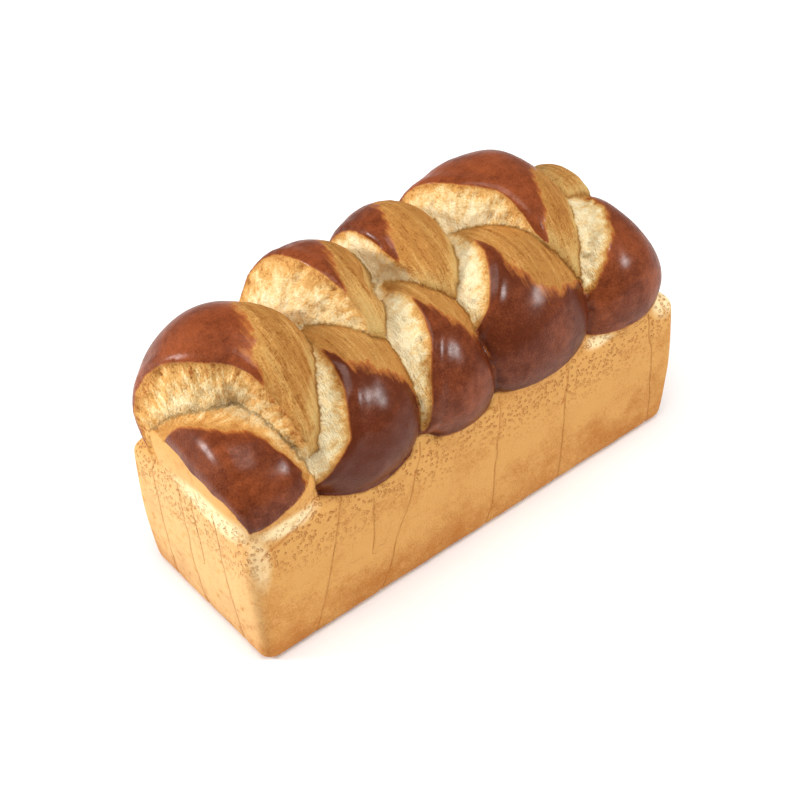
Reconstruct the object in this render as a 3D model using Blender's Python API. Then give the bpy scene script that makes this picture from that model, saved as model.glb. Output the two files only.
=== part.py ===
"""Braided loaf: a tin-baked brioche, one solid.

The lower half took the shape of a rectangular loaf tin: flat base, nearly upright walls, rounded
corners. Above the rim the dough rose as a braid. Its strands cross from side to side, so that two
rows of lobes bulge over the long walls and dive under each other along the middle. Each strand
tore open along its -X flank as it rose, which leaves a crest there with a hollow below it.

Frame: +X along the loaf, +Z up, origin at the bottom centre of the whole loaf's bounding box.
Run it with blender --background --python part.py, or from Blender's text editor.
"""

import math
from dataclasses import dataclass

import bmesh
import bpy
from mathutils import Vector

MM = 0.001

# The part that took the tin's shape.
TIN_LENGTH = 254 * MM
TIN_WIDTH = 93 * MM
RIM_HEIGHT = 75 * MM
BASE_SHRINK = 0.985
WALL_BULGE = 1.5 * MM
CORNER_RADIUS = 6 * MM
BASE_EDGE_RADIUS = 4 * MM
RIM_EDGE_RADIUS = 5 * MM
CORNER_SEGMENTS = 4
EDGE_SEGMENTS = 2
BULGE_ROWS = 3

# The ridge of dough that fills the middle, below the crossings.
CORE_HALF_LENGTH = 119 * MM
CORE_HALF_WIDTH = 44 * MM
CORE_HEIGHT_ABOVE_RIM = 49 * MM
CORE_SEGMENTS = 24
CORE_RINGS = 9

# How finely a strand is lofted.
STRAND_RINGS = 15
STRAND_SIDES = 24
TEAR_MIDDLE_ANGLE = math.radians(-100)
CREST_HALF_ANGLE = math.radians(9)
CREST_RISE = 1.0 * MM
END_ROUNDING = 0.08
SMALLEST_END = 0.3

NEAR = -1
FAR = 1


@dataclass
class Strand:
    """One visible length of dough, from its root at a wall to where it dives under the next."""

    name: str
    side: int            # which long wall its root leans on: NEAR is -Y, FAR is +Y
    route: list          # spine points in mm: x, y, z, half width along the loaf, half thickness
    crest: list          # angle of the torn flank's crest, degrees from the outward side, along it
    tear: list           # depth of the hollow below the crest in mm, along it


STRANDS = [
    Strand("strand_far_1", FAR,
           [(-100, 18, 60, 20, 18), (-100, 26, 82, 24, 24), (-99, 26, 98, 26, 27), (-95, 19, 111, 26, 30),
            (-87, 2, 116, 22, 27), (-83, -16, 110, 18, 24), (-81, -28, 95, 15, 19), (-82, -31, 80, 13, 15)],
           [-75, -68, -60, -50, -50, -50], [4, 6, 10, 8, 4]),
    Strand("strand_far_2", FAR,
           [(-43, 18, 60, 20, 18), (-43, 29, 84, 22, 24), (-42, 29, 102, 23, 28), (-39, 23, 116, 23, 31),
            (-37, 4, 118, 19, 28), (-36, -12, 112, 16, 24), (-35, -22, 98, 13, 18)],
           [-50, -40, -32, -28, -30, -40], [3, 6, 10, 10, 4]),
    Strand("strand_far_3", FAR,
           [(4, 18, 60, 18, 18), (4, 29, 84, 20, 24), (5, 28, 102, 20, 27), (8, 22, 116, 20, 30),
            (10, 4, 116, 17, 27), (9, -12, 108, 15, 23), (8, -24, 94, 13, 18)],
           [-50, -35, -25, -25, -30, -40], [3, 6, 12, 12, 4]),
    Strand("strand_far_4", FAR,
           [(56, 18, 60, 32, 18), (56, 29, 84, 37, 24), (58, 29, 102, 39, 28), (62, 24, 116, 37, 31),
            (69, 5, 117, 27, 28), (71, -12, 108, 19, 24), (71, -26, 94, 14, 19)],
           [-60, -50, -42, -35, -35, -40], [3, 6, 14, 14, 4]),
    Strand("strand_far_5", FAR,
           [(106, 18, 60, 17, 17), (106, 27, 82, 18, 21), (104, 24, 97, 19, 22), (101, 13, 109, 17, 22),
            (98, -2, 108, 14, 20)],
           [-50, -50], [3, 3]),
    Strand("strand_near_1", NEAR,
           [(-104, -18, 60, 20, 16), (-105, -27, 80, 22, 20), (-105, -23, 88, 23, 22), (-106, -8, 91, 23, 24),
            (-107, 12, 90, 22, 22), (-107, 26, 85, 18, 16)],
           [-60, -60], [0, 0]),
    Strand("strand_near_2", NEAR,
           [(-55, -18, 60, 22, 16), (-54, -30, 81, 25, 20), (-53, -29, 94, 24, 23), (-51, -17, 104, 21, 25),
            (-49, 0, 103, 16, 21), (-47, 12, 95, 12, 16)],
           [-55, -50, -45, -45, -50], [3, 3, 6, 6]),
    Strand("strand_near_3", NEAR,
           [(-9, -18, 60, 18, 16), (-9, -30, 82, 21, 20), (-9, -28, 95, 20, 23), (-7, -15, 104, 18, 25),
            (-4, 2, 103, 15, 21), (-2, 12, 95, 12, 16)],
           [-50, -40, -40, -40], [3, 8, 8]),
    Strand("strand_near_4", NEAR,
           [(37, -18, 60, 27, 16), (37, -30, 82, 31, 20), (38, -28, 96, 31, 24), (40, -15, 107, 27, 27),
            (44, 2, 106, 21, 23), (46, 14, 96, 14, 16)],
           [-50, -42, -40, -40], [4, 9, 9]),
    Strand("strand_near_5", NEAR,
           [(97, -18, 60, 26, 16), (97, -28, 80, 29, 21), (98, -26, 93, 29, 24), (98, -12, 102, 26, 24),
            (98, 4, 100, 20, 18)],
           [-55, -45, -45], [3, 6, 6]),
]


def crust_material():
    """The golden brown of the baked crust."""
    material = bpy.data.materials.new("golden_crust")
    material.use_nodes = True
    shader = material.node_tree.nodes["Principled BSDF"]
    shader.inputs["Base Color"].default_value = (0.62, 0.33, 0.11, 1.0)
    shader.inputs["Roughness"].default_value = 0.6
    shader.inputs["Metallic"].default_value = 0.0
    return material


def add_object(name, mesh):
    """Link a mesh to the scene under a name."""
    placed = bpy.data.objects.new(name, mesh)
    bpy.context.collection.objects.link(placed)
    return placed


def mesh_from_rings(name, rings):
    """Join rings of points, each as long as the next, into a closed skin with flat ends."""
    sides = len(rings[0])
    shape = bmesh.new()
    loops = [[shape.verts.new(point) for point in ring] for ring in rings]
    for lower, upper in zip(loops, loops[1:]):
        for i in range(sides):
            k = (i + 1) % sides
            shape.faces.new((lower[i], lower[k], upper[k], upper[i]))
    shape.faces.new(list(reversed(loops[0])))
    shape.faces.new(loops[-1])
    bmesh.ops.recalc_face_normals(shape, faces=shape.faces)
    mesh = bpy.data.meshes.new(name)
    shape.to_mesh(mesh)
    shape.free()
    return mesh


def spline(points, fraction):
    """A point of the smooth curve through evenly spaced values, fraction 0 to 1 along it."""
    place = fraction * (len(points) - 1)
    start = min(int(place), len(points) - 2)
    t = place - start
    here, there = points[start], points[start + 1]
    before = points[start - 1] if start > 0 else [2 * a - b for a, b in zip(here, there)]
    after = points[start + 2] if start + 2 < len(points) else [2 * b - a for a, b in zip(here, there)]
    return [0.5 * (2 * b + (c - a) * t + (2 * a - 5 * b + 4 * c - d) * t * t + (3 * (b - c) + d - a) * t ** 3)
            for a, b, c, d in zip(before, here, there, after)]


def along(values, fraction):
    """Straight-line blend of evenly spaced values, fraction 0 to 1 along them."""
    place = fraction * (len(values) - 1)
    start = min(int(place), len(values) - 2)
    return values[start] + (values[start + 1] - values[start]) * (place - start)


def end_taper(fraction):
    """Factor that rounds a strand's two hidden ends."""
    depth = min(fraction, 1 - fraction) / END_ROUNDING
    return max(SMALLEST_END, math.sqrt(1 - (1 - min(depth, 1)) ** 2))


def strand_mesh(strand):
    """Loft one strand: an oval swept along its route, with the crest and hollow of its torn flank."""
    rings = []
    fractions = [i / (STRAND_RINGS - 1) for i in range(STRAND_RINGS)]
    stations = [spline(strand.route, fraction) for fraction in fractions]
    centres = [Vector(station[:3]) * MM for station in stations]
    for i, fraction in enumerate(fractions):
        direction = (centres[min(i + 1, STRAND_RINGS - 1)] - centres[max(i - 1, 0)]).normalized()
        across = Vector((1, 0, 0))
        across = (across - direction * across.dot(direction)).normalized()
        outward = across.cross(direction) * strand.side * -1
        half_width = stations[i][3] * MM * end_taper(fraction)
        half_thickness = stations[i][4] * MM * end_taper(fraction)
        crest = math.radians(along(strand.crest, fraction))
        depth = along(strand.tear, fraction) * MM * end_taper(fraction)
        ring = []
        for k in range(STRAND_SIDES):
            angle = -math.pi + 2 * math.pi * k / STRAND_SIDES
            sideways = half_width * math.sin(angle)
            rise = half_thickness * math.cos(angle)
            reach = (angle - TEAR_MIDDLE_ANGLE) / (crest - TEAR_MIDDLE_ANGLE)
            sideways += depth * max(0, 1 - reach * reach)
            rise += CREST_RISE * math.exp(-((angle - crest) / CREST_HALF_ANGLE) ** 2)
            ring.append(centres[i] + across * sideways + outward * rise)
        rings.append(ring)
    return mesh_from_rings(strand.name, rings)


def tin_outline(height, inset):
    """The tin's rounded rectangle at one height, pulled in by the rounding of an edge."""
    level = height / RIM_HEIGHT
    swell = WALL_BULGE * math.sin(math.pi * level)
    narrow = BASE_SHRINK + (1 - BASE_SHRINK) * level
    half_length = TIN_LENGTH / 2 * narrow + swell - inset
    half_width = TIN_WIDTH / 2 * narrow + swell - inset
    outline = []
    for quarter, (sign_x, sign_y) in enumerate(((1, 1), (-1, 1), (-1, -1), (1, -1))):
        for step in range(CORNER_SEGMENTS + 1):
            angle = math.pi / 2 * (quarter + step / CORNER_SEGMENTS)
            outline.append(Vector((sign_x * (half_length - CORNER_RADIUS) + CORNER_RADIUS * math.cos(angle),
                                   sign_y * (half_width - CORNER_RADIUS) + CORNER_RADIUS * math.sin(angle),
                                   height)))
    return outline


def tin_mesh():
    """The tin-shaped lower half: swelling walls, rounded corners, rounded edges above and below."""
    rings = []
    turns = [math.pi / 2 * step / EDGE_SEGMENTS for step in range(EDGE_SEGMENTS + 1)]
    for turn in turns:
        rings.append(tin_outline(BASE_EDGE_RADIUS * (1 - math.cos(turn)), BASE_EDGE_RADIUS * (1 - math.sin(turn))))
    for row in range(1, BULGE_ROWS + 1):
        rings.append(tin_outline(RIM_HEIGHT * row / (BULGE_ROWS + 1), 0))
    for turn in turns:
        rings.append(tin_outline(RIM_HEIGHT - RIM_EDGE_RADIUS * (1 - math.sin(turn)),
                                 RIM_EDGE_RADIUS * (1 - math.cos(turn))))
    return mesh_from_rings("loaf", rings)


def core_mesh():
    """The ridge of dough under the crossings: a long dome with rounded ends."""
    rings = []
    for i in range(CORE_RINGS):
        x = CORE_HALF_LENGTH * math.sin(math.pi * (i / (CORE_RINGS - 1) - 0.5) * 0.96)
        size = math.sqrt(1 - (x / CORE_HALF_LENGTH) ** 4)
        rings.append([Vector((x, CORE_HALF_WIDTH * size * math.cos(2 * math.pi * k / CORE_SEGMENTS),
                              RIM_HEIGHT + CORE_HEIGHT_ABOVE_RIM * size * math.sin(2 * math.pi * k / CORE_SEGMENTS)))
                      for k in range(CORE_SEGMENTS)])
    return mesh_from_rings("core", rings)


def add_by_union(loaf, name, mesh):
    """Grow the loaf by one more closed shape, kept as a hidden guide object."""
    guide = add_object(name, mesh)
    guide.parent = loaf.parent
    guide.hide_render = True
    guide.display_type = "WIRE"
    union = loaf.modifiers.new(name, "BOOLEAN")
    union.operation = "UNION"
    union.solver = "EXACT"
    union.use_self = True
    union.object = guide


def centre_on_base(frame, loaf):
    """Move the frame so that the loaf's bounding box stands centred on the origin."""
    evaluated = loaf.evaluated_get(bpy.context.evaluated_depsgraph_get())
    points = [evaluated.matrix_world @ vert.co for vert in evaluated.data.vertices]
    middle = [(min(p[axis] for p in points) + max(p[axis] for p in points)) / 2 for axis in (0, 1)]
    frame.location = (-middle[0], -middle[1], -min(p.z for p in points))


def main():
    """Build the loaf."""
    for old in list(bpy.data.objects):
        bpy.data.objects.remove(old)
    frame = bpy.data.objects.new("loaf_frame", None)
    bpy.context.collection.objects.link(frame)
    loaf = add_object("loaf", tin_mesh())
    loaf.parent = frame
    loaf.data.materials.append(crust_material())
    add_by_union(loaf, "core", core_mesh())
    for strand in STRANDS:
        add_by_union(loaf, strand.name, strand_mesh(strand))
    centre_on_base(frame, loaf)


main()
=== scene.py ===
"""Braided brioche loaf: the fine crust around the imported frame.

The loaf is one piece. Its strands, core and tin-shaped lower half are lofted, grown into one skin by a
voxel remesh, and then worked like dough: torn flanks, stretched faces, creases, wall wrinkles and pits.
What each point of the skin is (glazed, golden, torn, wall) is kept in attributes that its finish reads.
"""

import logging
import math
from dataclasses import dataclass, field
from enum import Enum
from typing import Union

import bmesh
import bpy
import numpy as np
from mathutils import Matrix, Vector
from mathutils.bvhtree import BVHTree


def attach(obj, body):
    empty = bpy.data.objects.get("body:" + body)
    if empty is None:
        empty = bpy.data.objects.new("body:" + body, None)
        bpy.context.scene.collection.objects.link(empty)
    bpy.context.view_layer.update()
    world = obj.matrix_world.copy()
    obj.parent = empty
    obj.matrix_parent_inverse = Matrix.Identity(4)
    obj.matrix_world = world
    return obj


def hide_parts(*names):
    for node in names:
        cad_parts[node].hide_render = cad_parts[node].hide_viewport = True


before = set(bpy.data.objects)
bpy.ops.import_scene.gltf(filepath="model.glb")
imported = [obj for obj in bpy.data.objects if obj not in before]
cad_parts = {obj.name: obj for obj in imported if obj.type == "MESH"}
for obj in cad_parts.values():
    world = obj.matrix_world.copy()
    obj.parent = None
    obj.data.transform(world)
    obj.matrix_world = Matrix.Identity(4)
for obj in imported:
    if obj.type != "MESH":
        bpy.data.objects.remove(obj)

LOG = logging.getLogger("braided_loaf")
MM = 0.001
OUT_OF_REACH = 20.0    # the distance to a fold that is on another wall, mm
Socket = bpy.types.NodeSocket
Value = Union[Socket, float, tuple]


class Side(Enum):
    """The long wall that a strand's root leans on."""

    NEAR = -1
    FAR = 1


class Part(Enum):
    """What a stretch of the skin belongs to, besides the numbered strands."""

    TIN = -1
    CORE = -2


def smooth_step(low: float, high: float, value: np.ndarray) -> np.ndarray:
    """Ease from 0 at low to 1 at high.

    Args:
        low: value where the result is 0.
        high: value where the result is 1; it may lie below low.
        value: what is eased.

    Returns:
        Numbers from 0 to 1, shaped like value.
    """
    part = np.clip((value - low) / (high - low), 0, 1)
    return part * part * (3 - 2 * part)


def along(values: tuple, fraction: np.ndarray) -> np.ndarray:
    """Blend evenly spaced values in straight lines, fraction 0 to 1 along them."""
    return np.interp(fraction, np.linspace(0, 1, len(values)), values)


class DoughNoise:
    """Smooth, repeatable unevenness, from a wrapped lattice of seeded values."""

    SIDE = 48

    def __init__(self, seed: int) -> None:
        """Fill the lattice from a seed."""
        self.lattice = np.random.default_rng(seed).uniform(-1, 1, (self.SIDE,) * 3)

    def at(self, points: np.ndarray) -> np.ndarray:
        """Read the noise at points, one lattice cell per unit.

        Args:
            points: N by 3 coordinates.

        Returns:
            N values from -1 to 1.
        """
        cell = np.floor(points).astype(int)
        part = points - cell
        part = part * part * (3 - 2 * part)
        total = np.zeros(len(points))
        for corner in range(8):
            step = np.array([corner & 1, corner >> 1 & 1, corner >> 2 & 1])
            share = np.where(step, part, 1 - part).prod(axis=1)
            x, y, z = ((cell + step) % self.SIDE).T
            total += share * self.lattice[x, y, z]
        return total

    def layered(self, points: np.ndarray, size: float, layers: int = 3) -> np.ndarray:
        """Sum finer and weaker layers of the noise.

        Args:
            points: N by 3 coordinates in millimetres.
            size: the coarsest layer's grain in millimetres.
            layers: how many layers, each half the size and strength of the last.

        Returns:
            N values, mostly from -1 to 1.
        """
        total = np.zeros(len(points))
        for layer in range(layers):
            total += self.at(points * (2 ** layer / size) + 7.3 * layer) / 2 ** layer
        return total / 1.4


@dataclass
class Skin:
    """A closed loft: rings of points in millimetres."""

    points: np.ndarray

    def faces(self) -> list:
        """The quads between rings and one flat face at each end."""
        rings, sides = self.points.shape[:2]
        quads = [(i * sides + j, i * sides + (j + 1) % sides,
                  (i + 1) * sides + (j + 1) % sides, (i + 1) * sides + j)
                 for i in range(rings - 1) for j in range(sides)]
        last = (rings - 1) * sides
        return quads + [tuple(range(sides))[::-1], tuple(range(last, last + sides))]

    def tree(self) -> BVHTree:
        """A search tree over the quads, without the end faces."""
        return BVHTree.FromPolygons(self.points.reshape(-1, 3).tolist(), self.faces()[:-2])

    def place_on(self, face: np.ndarray, spots: np.ndarray) -> tuple[np.ndarray, np.ndarray]:
        """Where spots on the loft's quads lie along and around it.

        Args:
            face: the quad that each spot lies on.
            spots: N by 3 places in millimetres.

        Returns:
            The ring and the side of each spot, as fractional counts.
        """
        sides = self.points.shape[1]
        ring, side = face // sides, face % sides
        corner = self.points[ring, side]
        next_side = self.points[ring, (side + 1) % sides] - corner
        next_ring = self.points[ring + 1, side] - corner
        offset = spots - corner
        around = (offset * next_side).sum(1) / np.maximum((next_side ** 2).sum(1), 1e-9)
        ahead = (offset * next_ring).sum(1) / np.maximum((next_ring ** 2).sum(1), 1e-9)
        return ring + np.clip(ahead, 0, 1), side + np.clip(around, 0, 1)


@dataclass(frozen=True)
class Strand:
    """One visible length of dough, from its root at a wall to where it dives under the next."""

    name: str
    side: Side
    route: tuple              # spine points in mm: x, y, z, half width along the loaf, half thickness
    crest: tuple              # angle of the torn flank's crest along it, degrees from the outward side
    tear: tuple               # depth of the hollow below the crest along it, mm
    glaze: tuple              # glazed fraction of its length, at each of GLAZE_OFFSETS from the crest
    edge: tuple = (0, 0)      # how far from the crest the glaze starts along it, mm
    rim: float = 0.0          # how far the glaze stays off the next strand, mm
    toast: float = 6.0        # how far below the crest the torn flank is still golden, mm
    stretch: float = 1.0      # how strongly the face is streaked
    fade: tuple = (1.1, 1.2)  # fractions of the length between which the golden face turns pale
    lip: float = 1.0          # how far the crest stands proud, mm; 0 is a strand with no torn flank
    bake: float = 0.5         # how dark its glaze baked, 0 to 1
    hem: float = 76.0         # height where the glaze stops, mm
    hem_sag: float = 6.0      # how much lower it stops in the middle of the root, mm
    hem_slope: float = 0.0    # how much higher it stops for each mm along the loaf
    square: float = 1.0       # below 1, the section has fuller shoulders

    RINGS = 72
    SIDES = 120
    GLAZE_OFFSETS = (0, 8, 20, 33, 40)    # mm
    HOLLOW_HALF_ANGLE = math.radians(50)
    CREST_HALF_ANGLE = math.radians(6)
    END_ROUNDING = 0.08
    SMALLEST_END = 0.3

    def stations(self) -> np.ndarray:
        """The smooth curve through the route: RINGS rows of x, y, z, half width, half thickness."""
        route = np.array(self.route, float)
        padded = np.vstack([2 * route[0] - route[1], route, 2 * route[-1] - route[-2]])
        place = np.linspace(0, len(route) - 1, self.RINGS)
        start = np.minimum(place.astype(int), len(route) - 2)
        t = (place - start)[:, None]
        a, b, c, d = (padded[start + k] for k in range(4))
        return 0.5 * (2 * b + (c - a) * t + (2 * a - 5 * b + 4 * c - d) * t ** 2
                      + (3 * (b - c) + d - a) * t ** 3)

    def skin(self) -> Skin:
        """Loft the strand: an oval with the crest and the hollow of its torn flank."""
        station = self.stations()
        fraction = np.linspace(0, 1, self.RINGS)
        centre = station[:, :3]
        ahead = np.gradient(centre, axis=0)
        ahead /= np.linalg.norm(ahead, axis=1)[:, None]
        across = np.array([1.0, 0, 0]) - ahead * ahead[:, :1]
        across /= np.linalg.norm(across, axis=1)[:, None]
        outward = np.cross(across, ahead) * -self.side.value
        depth = np.minimum(np.minimum(fraction, 1 - fraction) / self.END_ROUNDING, 1)
        taper = np.maximum(self.SMALLEST_END, np.sqrt(1 - (1 - depth) ** 2))
        crest = np.radians(along(self.crest, fraction))[:, None]
        angle = np.linspace(-math.pi, math.pi, self.SIDES, endpoint=False)[None, :]
        reach = (angle - crest) / self.HOLLOW_HALF_ANGLE + 1
        hollow = np.maximum(0, 1 - reach ** 2) ** 0.7
        full_sine = np.sign(np.sin(angle)) * np.abs(np.sin(angle)) ** self.square
        full_cosine = np.sign(np.cos(angle)) * np.abs(np.cos(angle)) ** self.square
        sideways = station[:, 3:4] * full_sine + along(self.tear, fraction)[:, None] * hollow
        rise = station[:, 4:5] * full_cosine
        rise = rise + self.lip * np.exp(-((angle - crest) / self.CREST_HALF_ANGLE) ** 2)
        sideways, rise = sideways * taper[:, None], rise * taper[:, None]
        return Skin(centre[:, None] + across[:, None] * sideways[..., None]
                    + outward[:, None] * rise[..., None])

    def length(self) -> np.ndarray:
        """Distance along the spine at each ring, mm."""
        steps = np.linalg.norm(np.diff(self.stations()[:, :3], axis=0), axis=1)
        return np.concatenate([[0], np.cumsum(steps)])


FAR_STRANDS = (
    Strand("far_1", Side.FAR,
           ((-101, 18, 60, 20, 18), (-101, 26, 82, 25, 24), (-99, 25, 99, 29, 27), (-92, 16, 113, 30, 30),
            (-83, 0, 117, 25, 28), (-84, -17, 107, 16, 21), (-85, -25, 97, 13, 17), (-86, -29, 90, 10, 13)),
           crest=(-75, -74, -71, -68, -60, -38, -30, -14, -8), tear=(2, 3, 5, 4, 2),
           glaze=(0.68, 0.595, 0.56, 0.52, 0.50), toast=17.0, stretch=1.2, fade=(0.78, 1.0), bake=0.35),
    Strand("far_2", Side.FAR,
           ((-44, 18, 60, 23, 18), (-43, 29, 84, 28, 24), (-41, 29, 102, 30, 28), (-37, 22, 116, 29, 30),
            (-36, 4, 113, 21, 26), (-40, -9, 100, 14, 19), (-42, -18, 84, 10, 12)),
           crest=(-50, -47, -43, -36, -20, -10, 2, 4, 4), tear=(2, 3, 5, 5, 2),
           glaze=(0.67, 0.585, 0.52, 0.47, 0.45), toast=18.0, fade=(0.6, 0.8), bake=0.45),
    Strand("far_3", Side.FAR,
           ((5, 18, 60, 23, 18), (5, 29, 84, 25, 24), (6, 29, 102, 26, 28), (9, 22, 116, 26, 30),
            (10, 4, 112, 19, 26), (7, -9, 98, 13, 17), (6, -18, 82, 10, 12)),
           crest=(-60, -52, -48, -44, -41, -44, -30, -12, -8), tear=(2, 4, 5, 4, 2),
           glaze=(0.63, 0.57, 0.505, 0.46, 0.44), toast=2.5, fade=(0.62, 0.84), bake=0.45),
    Strand("far_4", Side.FAR,
           ((55, 18, 60, 33, 18), (55, 29, 84, 39, 24), (57, 29, 102, 41, 28), (61, 24, 116, 40, 31),
            (69, 5, 117, 28, 28), (71, -12, 106, 19, 22), (71, -25, 90, 12, 15)),
           crest=(-58, -56, -53, -50, -37, -25, -30, -24, -20), tear=(2, 4, 8, 7, 4),
           glaze=(0.82, 0.75, 0.67, 0.64, 0.62), toast=11.0, fade=(0.9, 1.1), bake=0.3),
    Strand("far_5", Side.FAR,
           ((106, 18, 60, 17, 17), (106, 27, 82, 18, 21), (104, 24, 97, 19, 22), (101, 13, 109, 17, 22),
            (98, -2, 108, 14, 20)),
           crest=(-50, -50), tear=(3, 3), glaze=(0.5, 0.5, 0.45, 0.42, 0.4)),
)

NEAR_STRANDS = (
    Strand("near_1", Side.NEAR,
           ((-105, -18, 42, 20, 17), (-105, -26, 60, 22, 19), (-106, -27, 78, 21.5, 20),
            (-106.5, -23, 87, 21, 23), (-106.5, -8, 88, 21, 26), (-106.5, 12, 84, 21, 25),
            (-106, 28, 78, 20, 20)),
           crest=(-34, -34, -38, -48, -80, -82, -73, -65, -60), tear=(0, 0), lip=0.0, square=0.72,
           glaze=(0.86, 0.78, 0.68, 0.55, 0.38), rim=5.0, toast=4.0, stretch=0.5, bake=0.55,
           hem=85.0, hem_sag=0.0, hem_slope=0.31),
    Strand("near_2", Side.NEAR,
           ((-58, -18, 60, 28, 16), (-58, -30, 81, 33, 20), (-57, -29, 94, 33, 23), (-52, -17, 104, 28, 24),
            (-51, 0, 102, 22, 21), (-50, 12, 94, 16, 16)),
           crest=(-120, -100, -62, -27, -22, -22, -21, -22, -24), tear=(0, 0, 1, 2, 2, 2, 1),
           glaze=(0.64, 0.57, 0.54, 0.52, 0.48), toast=4.0, stretch=0.5, fade=(0.6, 0.95), bake=0.85,
           hem=75.0, hem_sag=7.0),
    Strand("near_3", Side.NEAR,
           ((-9, -18, 60, 25, 16), (-8, -30, 82, 28, 20), (-12, -28, 95, 29, 23), (-10, -15, 104, 26, 24),
            (-8, 2, 102, 22, 21), (-6, 12, 94, 16, 16)),
           crest=(-120, -95, -64, -34, -13, -5, -4, -5, -5), tear=(0, 0, 1, 2, 2, 2, 1),
           glaze=(0.63, 0.575, 0.50, 0.46, 0.44), toast=4.0, stretch=0.5, fade=(0.66, 0.9), bake=0.65,
           hem=75.0, hem_sag=3.0),
    Strand("near_4", Side.NEAR,
           ((39, -18, 60, 34, 16), (40, -30, 82, 38, 20), (38, -28, 96, 39, 24), (39, -15, 107, 35, 26),
            (40, 2, 105, 29, 23), (42, 14, 95, 20, 16)),
           crest=(-150, -140, -124, -84, -38, -15, -9, -10, -12), tear=(0, 0, 1, 2, 2, 2, 1),
           glaze=(0.69, 0.595, 0.525, 0.485, 0.47), toast=4.0, stretch=0.7, fade=(0.68, 0.95), bake=0.75,
           hem=78.0, hem_sag=2.0),
    Strand("near_5", Side.NEAR,
           ((95, -18, 60, 27, 16), (95, -28, 80, 31, 21), (96, -26, 93, 29, 24), (96, -12, 102, 25, 24),
            (97, 4, 100, 20, 18)),
           crest=(-100, -85, -55, -40, -40), tear=(0, 0, 2, 5, 5), glaze=(1.2, 1.2, 1.2, 1.2, 1.2),
           edge=(0, 0, 0, 1, 5, 19, 25, 26, 28), toast=4.0, hem=79.0, hem_sag=2.0),
)


@dataclass(frozen=True)
class Tin:
    """The lower half, which took the tin's shape, and the core of dough between the strands."""

    length: float = 254.0
    width: float = 93.0
    rim: float = 75.0
    base_shrink: float = 0.985
    bulge: float = 1.5
    corner_radius: float = 6.0
    base_radius: float = 4.0
    rim_radius: float = 5.0
    corner_steps: int = 12
    edge_steps: int = 6
    rows: int = 30
    core_half_length: float = 119.0
    core_half_width: float = 44.0
    core_height: float = 49.0
    core_rings: int = 41
    core_sides: int = 96

    def outline(self, height: float, inset: float) -> np.ndarray:
        """The rounded rectangle at one height.

        Args:
            height: height above the base, mm.
            inset: how far it is pulled in by the rounding of an edge, mm.

        Returns:
            Its points.
        """
        level = height / self.rim
        narrow = self.base_shrink + (1 - self.base_shrink) * level
        swell = self.bulge * math.sin(math.pi * level) - inset
        half_length = self.length / 2 * narrow + swell - self.corner_radius
        half_width = self.width / 2 * narrow + swell - self.corner_radius
        points = []
        for quarter, (sign_x, sign_y) in enumerate(((1, 1), (-1, 1), (-1, -1), (1, -1))):
            for step in range(self.corner_steps + 1):
                turn = math.pi / 2 * (quarter + step / self.corner_steps)
                points.append((sign_x * half_length + self.corner_radius * math.cos(turn),
                               sign_y * half_width + self.corner_radius * math.sin(turn), height))
        return np.array(points)

    def skin(self) -> Skin:
        """Loft the tin's shape from its base edge to its rim edge."""
        turns = np.linspace(0, math.pi / 2, self.edge_steps + 1)
        low = [(self.base_radius * (1 - math.cos(t)), self.base_radius * (1 - math.sin(t))) for t in turns]
        heights = np.linspace(self.base_radius, self.rim - self.rim_radius, self.rows + 2)[1:-1]
        high = [(self.rim - self.rim_radius * (1 - math.sin(t)), self.rim_radius * (1 - math.cos(t)))
                for t in turns]
        return Skin(np.array([self.outline(h, inset) for h, inset in
                              low + [(h, 0.0) for h in heights] + high]))

    def core_skin(self) -> Skin:
        """Loft the long dome that fills the middle under the crossings."""
        x = self.core_half_length * np.sin(np.linspace(-0.48, 0.48, self.core_rings) * math.pi)
        size = np.sqrt(1 - (x / self.core_half_length) ** 4)[:, None]
        turn = np.linspace(0, 2 * math.pi, self.core_sides, endpoint=False)[None, :]
        return Skin(np.stack([np.repeat(x[:, None], self.core_sides, 1),
                              self.core_half_width * size * np.cos(turn),
                              self.rim + self.core_height * size * np.sin(turn)], axis=2))


@dataclass(frozen=True)
class Pocket:
    """A little hollow that opened in the torn dough."""

    centre: tuple        # place on the skin, mm
    radius: float        # mm
    depth: float         # mm


@dataclass(frozen=True)
class Patch:
    """A spot of dough that stayed pale."""

    centre: tuple        # place on the skin, mm
    size: tuple          # half size along x, y and z, mm
    strength: float = 1.0

    def share(self, points: np.ndarray) -> np.ndarray:
        """How pale each point is, 0 to the patch's strength."""
        away = np.linalg.norm((points - np.array(self.centre)) / np.array(self.size), axis=1)
        return self.strength * smooth_step(1.3, 0.5, away)


class Wall(Enum):
    """A side of the tin-shaped half, as the outward direction along x and y."""

    NEAR = (0, -1)
    FAR = (0, 1)
    LEFT = (-1, 0)
    RIGHT = (1, 0)


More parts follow.
